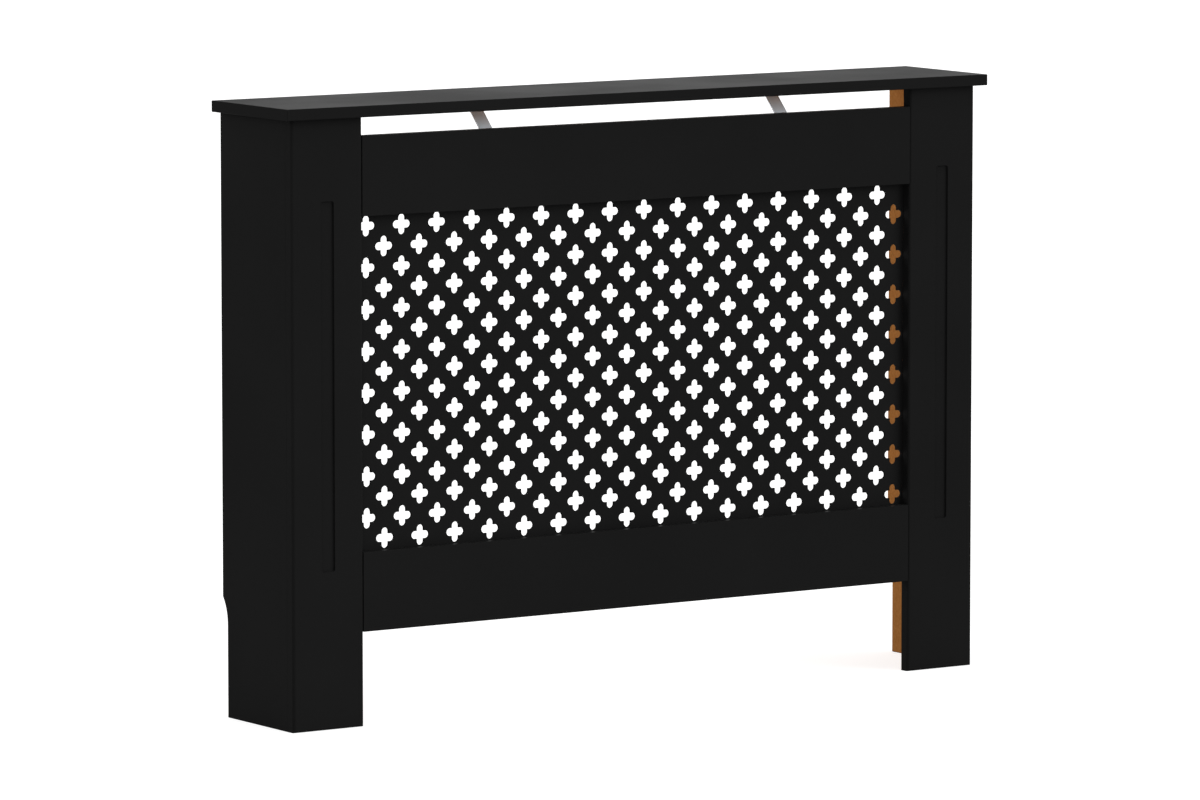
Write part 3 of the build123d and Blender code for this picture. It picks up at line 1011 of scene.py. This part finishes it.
def floor_material(albedo, glow):
    """A pale floor that keeps shadows, and is white to look at where none falls."""
    material = bpy.data.materials.new("studio_floor")
    material.use_nodes = True
    tree = material.node_tree
    surface = tree.nodes["Principled BSDF"]
    surface.inputs["Base Color"].default_value = (albedo, albedo, albedo, 1)
    surface.inputs["Roughness"].default_value = 1.0
    surface.inputs["Specular IOR Level"].default_value = 0.0
    surface.inputs["Emission Color"].default_value = (1, 1, 1, 1)
    added_white = tree.nodes.new("ShaderNodeMath")
    added_white.operation = "MULTIPLY"
    added_white.inputs[1].default_value = glow
    tree.links.new(seen_directly(tree), added_white.inputs[0])
    tree.links.new(added_white.outputs[0], surface.inputs["Emission Strength"])
    return material


def add_floor(material):
    """A round floor under the cabinet."""
    bm = bmesh.new()
    bmesh.ops.create_circle(bm, cap_ends=True, radius=FLOOR_RADIUS, segments=FLOOR_SIDES)
    floor = bpy.data.objects.new("floor", finish_mesh(bm, "floor"))
    floor.data.materials.append(material)
    bpy.context.scene.collection.objects.link(floor)


def add_camera(place):
    """The camera, which looks along its yaw and pitch."""
    data = bpy.data.cameras.new("camera")
    data.lens = place.focal_length
    data.clip_end = CAMERA_REACH
    camera = bpy.data.objects.new("camera", data)
    camera.location = place.position
    camera.rotation_euler = (FULL_TURN / 4 + place.pitch, 0, -place.yaw)
    bpy.context.scene.collection.objects.link(camera)
    bpy.context.scene.camera = camera


class RADIATORCOVER_OT_studio(bpy.types.Operator):
    """Set up the pale floor, the soft lamps and the camera"""

    bl_idname = "radiatorcover.studio"
    bl_label = "Studio"

    def execute(self, context):
        settings = context.scene.radiator_cover
        levels = settings.studio
        add_floor(floor_material(levels.floor_albedo, levels.floor_glow))
        light_world(levels.surroundings)
        add_lamp("overhead_lamp", levels.overhead, levels.spread, DOWNWARDS)
        add_lamp("front_right_lamp", levels.front_right, levels.spread, FROM_FRONT_RIGHT)
        add_lamp("rear_left_lamp", levels.rear_left, levels.spread, FROM_REAR_LEFT)
        add_camera(settings.camera)
        context.scene.view_settings.view_transform = "Standard"
        return {"FINISHED"}


OPERATORS = (
    RADIATORCOVER_OT_boards,
    RADIATORCOVER_OT_grille,
    RADIATORCOVER_OT_strips,
    RADIATORCOVER_OT_screws,
    RADIATORCOVER_OT_cams,
    RADIATORCOVER_OT_dowels,
    RADIATORCOVER_OT_studio,
)
GROUPS = (GrilleSizes, FittingSizes, Finishes, CameraPlace, StudioLevels, RadiatorCover)


class RADIATORCOVER_PT_panel(bpy.types.Panel):
    """The steps that dress the cabinet, and their settings"""

    bl_idname = "RADIATORCOVER_PT_panel"
    bl_label = "Radiator cover"
    bl_space_type = "VIEW_3D"
    bl_region_type = "UI"
    bl_category = "Radiator cover"

    def draw(self, context):
        settings = context.scene.radiator_cover
        for operator in OPERATORS:
            self.layout.operator(operator.bl_idname)
        for group_name in settings.bl_rna.properties.keys():
            group = getattr(settings, group_name)
            if isinstance(group, bpy.types.PropertyGroup):
                box = self.layout.box()
                for name in group.bl_rna.properties.keys():
                    if name not in {"rna_type", "name"}:
                        box.prop(group, name)


CLASSES = (*GROUPS, *OPERATORS, RADIATORCOVER_PT_panel)


def register():
    for cls in CLASSES:
        bpy.utils.register_class(cls)
    bpy.types.Scene.radiator_cover = PointerProperty(type=RadiatorCover)


def unregister():
    del bpy.types.Scene.radiator_cover
    for cls in reversed(CLASSES):
        bpy.utils.unregister_class(cls)


def main():
    """Dresses the cabinet and sets up the studio."""
    register()
    bpy.ops.radiatorcover.boards()
    bpy.ops.radiatorcover.grille()
    bpy.ops.radiatorcover.strips()
    bpy.ops.radiatorcover.screws()
    bpy.ops.radiatorcover.cams()
    bpy.ops.radiatorcover.dowels()
    bpy.ops.radiatorcover.studio()


if __name__ == "__main__":
    main()
